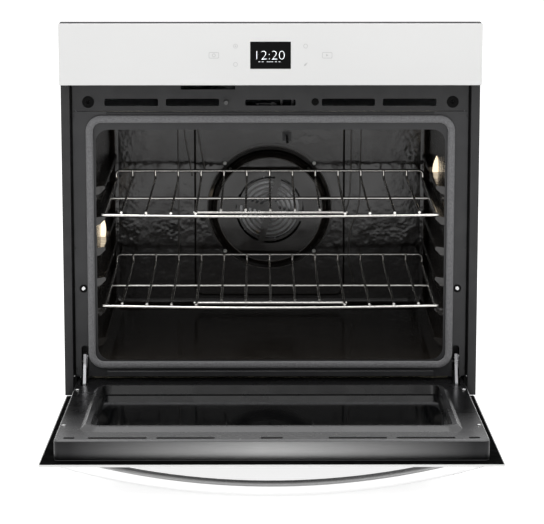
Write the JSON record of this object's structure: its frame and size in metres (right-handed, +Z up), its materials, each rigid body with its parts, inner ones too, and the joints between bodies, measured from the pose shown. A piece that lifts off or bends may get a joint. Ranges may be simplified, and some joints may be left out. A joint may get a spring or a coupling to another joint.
{
  "type": "built-in wall oven",
  "caption": "Built-in single wall oven with an open drop-down glass door, sliding wire racks, convection fan, lamps and a touch control panel with a display.",
  "frame": {"origin": "centre of the chassis' bottom face, where the base pan stands on the cabinet shelf", "axes": "+X to the right as seen by the user, +Y to the back of the oven, +Z up; the front faces -Y"},
  "size_m": [0.7556, 1.1801, 0.737],
  "materials": {
    "galvanised_sheet": "zinc coated sheet steel, dull",
    "zinc_screws": "zinc plated",
    "grey_trim_paint": "dark grey satin paint",
    "grey_frame_enamel": "dark grey satin enamel",
    "black_rings": "black rubber",
    "bright_screws": "nickel plated",
    "cavity_enamel": "glossy black-brown porcelain enamel",
    "fan_cover_enamel": "glossy dark enamel",
    "seal_braid": "grey woven glass-fibre braid",
    "fibre_blanket": "mineral fibre",
    "white_glass": "clear glass, white coating on the back",
    "dark_housing": "dark grey paint",
    "display_black": "black display",
    "circuit_board": "green solder resist",
    "motor_steel": "lacquered steel",
    "fan_aluminium": "mill finish",
    "terminal_plastic": "black moulding",
    "latch_steel": "zinc plated",
    "switch_plastic": "light grey moulding",
    "heater_sheath": "dark oxidised sheath",
    "probe_steel": "stainless steel",
    "lamp_can": "plated steel",
    "bulb_glass": "frosted glass",
    "lens_glass": "clear glass",
    "rack_chrome": "bright chromium plate",
    "hinge_steel": "bright steel",
    "back_paint_black": "black",
    "door_liner_enamel": "dark grey enamel, glossy",
    "window_glass": "dark coated glass",
    "spacer_steel": "plated steel",
    "handle_white": "white gloss paint"
  },
  "bodies": {
    "chassis": {"base_pan": "galvanised_sheet", "side_panels": "galvanised_sheet", "rear_panel": "galvanised_sheet", "rear_panel_screws": "zinc_screws", "top_cover": "galvanised_sheet", "side_rails": "grey_trim_paint", "bottom_trim": "grey_trim_paint", "front_frame": "grey_frame_enamel", "lower_sill": "grey_frame_enamel", "vent_strip": "grey_trim_paint", "screw_cups": "black_rings", "front_screws": "bright_screws", "cavity_liner": "cavity_enamel", "door_gasket": "seal_braid", "insulation_blanket": "fibre_blanket", "cavity_straps": "galvanised_sheet", "control_glass": "white_glass", "control_housing": "dark_housing", "display_module": "display_black", "touch_board": "circuit_board", "component_deck": "galvanised_sheet", "air_duct": "galvanised_sheet", "blower_housing": "galvanised_sheet", "blower_motor": "motor_steel", "control_board": "circuit_board", "terminal_block": "terminal_plastic", "conduit_gland": "zinc_screws", "latch_bracket": "latch_steel", "door_switch": "terminal_plastic", "fan_cover": "fan_cover_enamel", "fan_cover_screws": "zinc_screws", "convection_motor": "motor_steel", "convection_element": "heater_sheath", "broil_element": "heater_sheath", "bake_element": "heater_sheath", "temperature_sensor": "probe_steel", "lamp_housings": "lamp_can", "lamp_bulbs": "bulb_glass", "lamp_lenses": "lens_glass", "hinge_arms": "hinge_steel", "hinge_receivers": "latch_steel"},
    "door": {"door_glass": "white_glass", "door_back_frame": "back_paint_black", "door_liner": "door_liner_enamel", "door_fasteners": "bright_screws", "door_window_panes": "window_glass", "glass_spacer": "spacer_steel", "door_insulation": "fibre_blanket", "handle_bar": "handle_white", "hinge_channels": "hinge_steel", "hinge_springs": "hinge_steel"},
    "rack_upper": {"rack_upper": "rack_chrome"},
    "rack_lower": {"rack_lower": "rack_chrome"},
    "convection_fan": {"convection_fan": "fan_aluminium"},
    "cooling_impeller": {"cooling_impeller": "fan_aluminium"},
    "latch_hook": {"latch_hook": "latch_steel"},
    "door_switch_plunger": {"switch_plunger": "switch_plastic"},
    "hinge_lock_left": {"hinge_lock_left": "hinge_steel"},
    "hinge_lock_right": {"hinge_lock_right": "hinge_steel"}
  },
  "joints": [
    {"name": "door_hinge", "type": "hinge", "parent": "chassis", "child": "door", "pos_m": [0, -0.316, 0.066], "axis": [-1, 0, 0], "range_deg": [0, 87.2]},
    {"name": "rack_upper_slide", "type": "slide", "parent": "chassis", "child": "rack_upper", "axis": [0, 1, 0], "range_m": [-0.28, 0]},
    {"name": "rack_lower_slide", "type": "slide", "parent": "chassis", "child": "rack_lower", "axis": [0, 1, 0], "range_m": [-0.28, 0]},
    {"name": "convection_fan_spin", "type": "hinge", "parent": "chassis", "child": "convection_fan", "pos_m": [0, 0.19, 0.318], "axis": [0, 1, 0], "continuous": true},
    {"name": "cooling_blower_spin", "type": "hinge", "parent": "chassis", "child": "cooling_impeller", "pos_m": [0, 0.16, 0.6], "axis": [0, 0, 1], "continuous": true},
    {"name": "latch_swing", "type": "hinge", "parent": "chassis", "child": "latch_hook", "pos_m": [0.004, -0.277, 0.586], "axis": [0, 0, 1], "range_deg": [0, 90]},
    {"name": "door_switch_press", "type": "slide", "parent": "chassis", "child": "door_switch_plunger", "axis": [0, 1, 0], "range_m": [0, 0.005]},
    {"name": "hinge_lock_left_flip", "type": "hinge", "parent": "chassis", "child": "hinge_lock_left", "pos_m": [-0.341, -0.296, 0.121], "axis": [1, 0, 0], "range_deg": [-95, 0]},
    {"name": "hinge_lock_right_flip", "type": "hinge", "parent": "chassis", "child": "hinge_lock_right", "pos_m": [0.341, -0.296, 0.121], "axis": [1, 0, 0], "range_deg": [-95, 0]}
  ],
  "couplings": [
    {"joint": "door_switch_press", "follows": "door_hinge", "m_per_rad": 0.00328}
  ]
}
